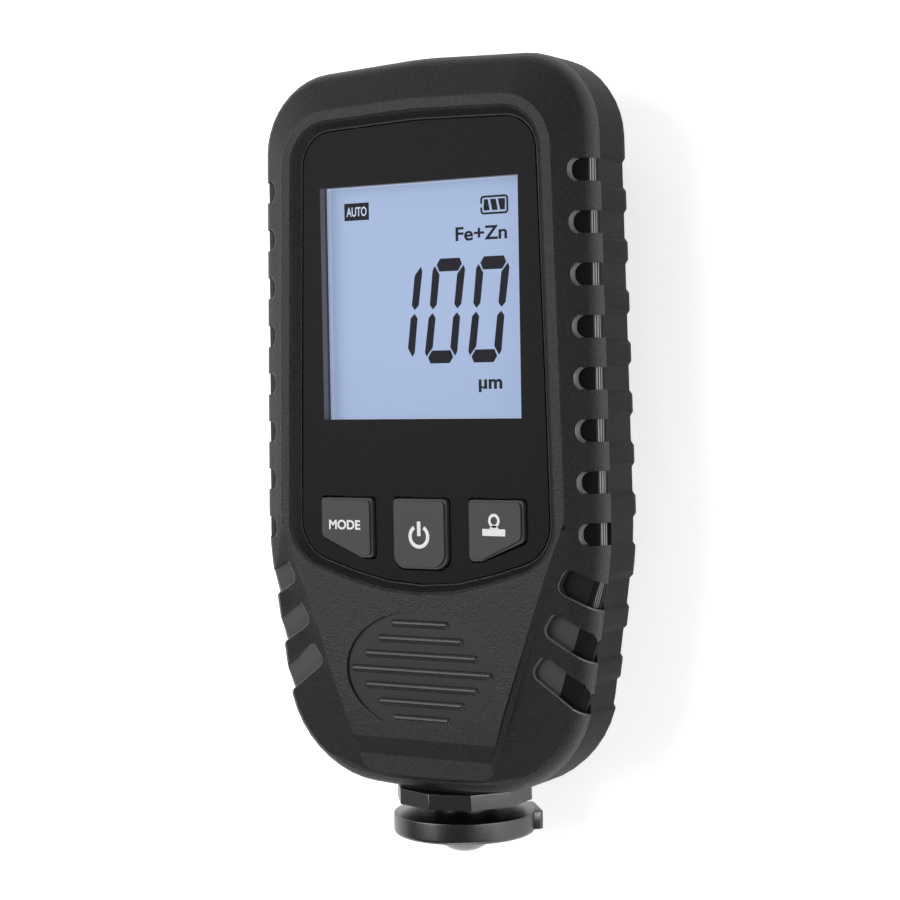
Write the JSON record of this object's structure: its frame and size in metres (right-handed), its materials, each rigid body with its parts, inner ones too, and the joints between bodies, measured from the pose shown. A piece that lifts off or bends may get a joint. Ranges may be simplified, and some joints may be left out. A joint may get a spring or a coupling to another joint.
{
  "type": "coating thickness gauge",
  "caption": "Handheld coating thickness gauge with a display, push keys, a ribbed thumb rest, notched side grips and a sprung contact probe at its lower end.",
  "frame": {"origin": "centre of the bounding box in plan, on the plane that the back lies on", "axes": "+X across the front to the right, +Y up the gauge from the probe to the top end, +Z out of the front face"},
  "size_m": [0.0588, 0.1194, 0.025],
  "materials": {
    "housing": "fine spark texture",
    "panel": "satin film",
    "window": "clear",
    "display": "lit liquid crystal glass",
    "diffuser": "milky",
    "frame_white": "moulded",
    "elastomer": "soft",
    "board": "solder mask on glass fibre",
    "component": "moulded",
    "key": "satin",
    "steel": "plain",
    "dark_metal": "dark satin",
    "tip": "polished",
    "cell": "printed sleeve without lettering",
    "winding": "enamelled copper wire",
    "lead": "soft insulation"
  },
  "bodies": {
    "gauge": {"front_shell": "housing", "rear_shell": "housing", "front_panel": "panel", "display_window": "window", "lcd_glass": "display", "backlight": "diffuser", "zebra_strip": "elastomer", "lcd_holder": "frame_white", "main_board": "board", "board_chips": "component", "lead_socket": "frame_white", "tact_switches": "steel", "case_screws": "steel", "board_screws": "steel", "battery_cells": "cell", "battery_contacts": "steel", "battery_springs": "steel", "probe_barrel": "steel", "barrel_cap": "steel", "probe_collar": "dark_metal", "probe_spring": "steel", "probe_lead": "lead"},
    "mode_button": {"mode_key": "key"},
    "power_button": {"power_key": "key"},
    "zero_button": {"zero_key": "key"},
    "door": {"battery_door": "housing"},
    "probe": {"probe_plunger": "dark_metal", "probe_tip": "tip", "probe_coil": "winding"}
  },
  "joints": [
    {"name": "mode_press", "type": "slide", "parent": "gauge", "child": "mode_button", "axis": [0, 0, -1], "range_m": [0, 0.0006], "stiffness_N_per_m": 1500, "springref_m": -0.0004},
    {"name": "power_press", "type": "slide", "parent": "gauge", "child": "power_button", "axis": [0, 0, -1], "range_m": [0, 0.0006], "stiffness_N_per_m": 1500, "springref_m": -0.0004},
    {"name": "zero_press", "type": "slide", "parent": "gauge", "child": "zero_button", "axis": [0, 0, -1], "range_m": [0, 0.0006], "stiffness_N_per_m": 1500, "springref_m": -0.0004},
    {"name": "probe_press", "type": "slide", "parent": "gauge", "child": "probe", "axis": [0, 1, 0], "range_m": [0, 0.0008], "stiffness_N_per_m": 1500, "springref_m": -0.002, "deforming": ["probe_spring", "probe_lead"]},
    {"name": "door_lift", "type": "slide", "parent": "gauge", "child": "door", "axis": [0, 0, -1], "range_m": [0, 0.012]}
  ]
}
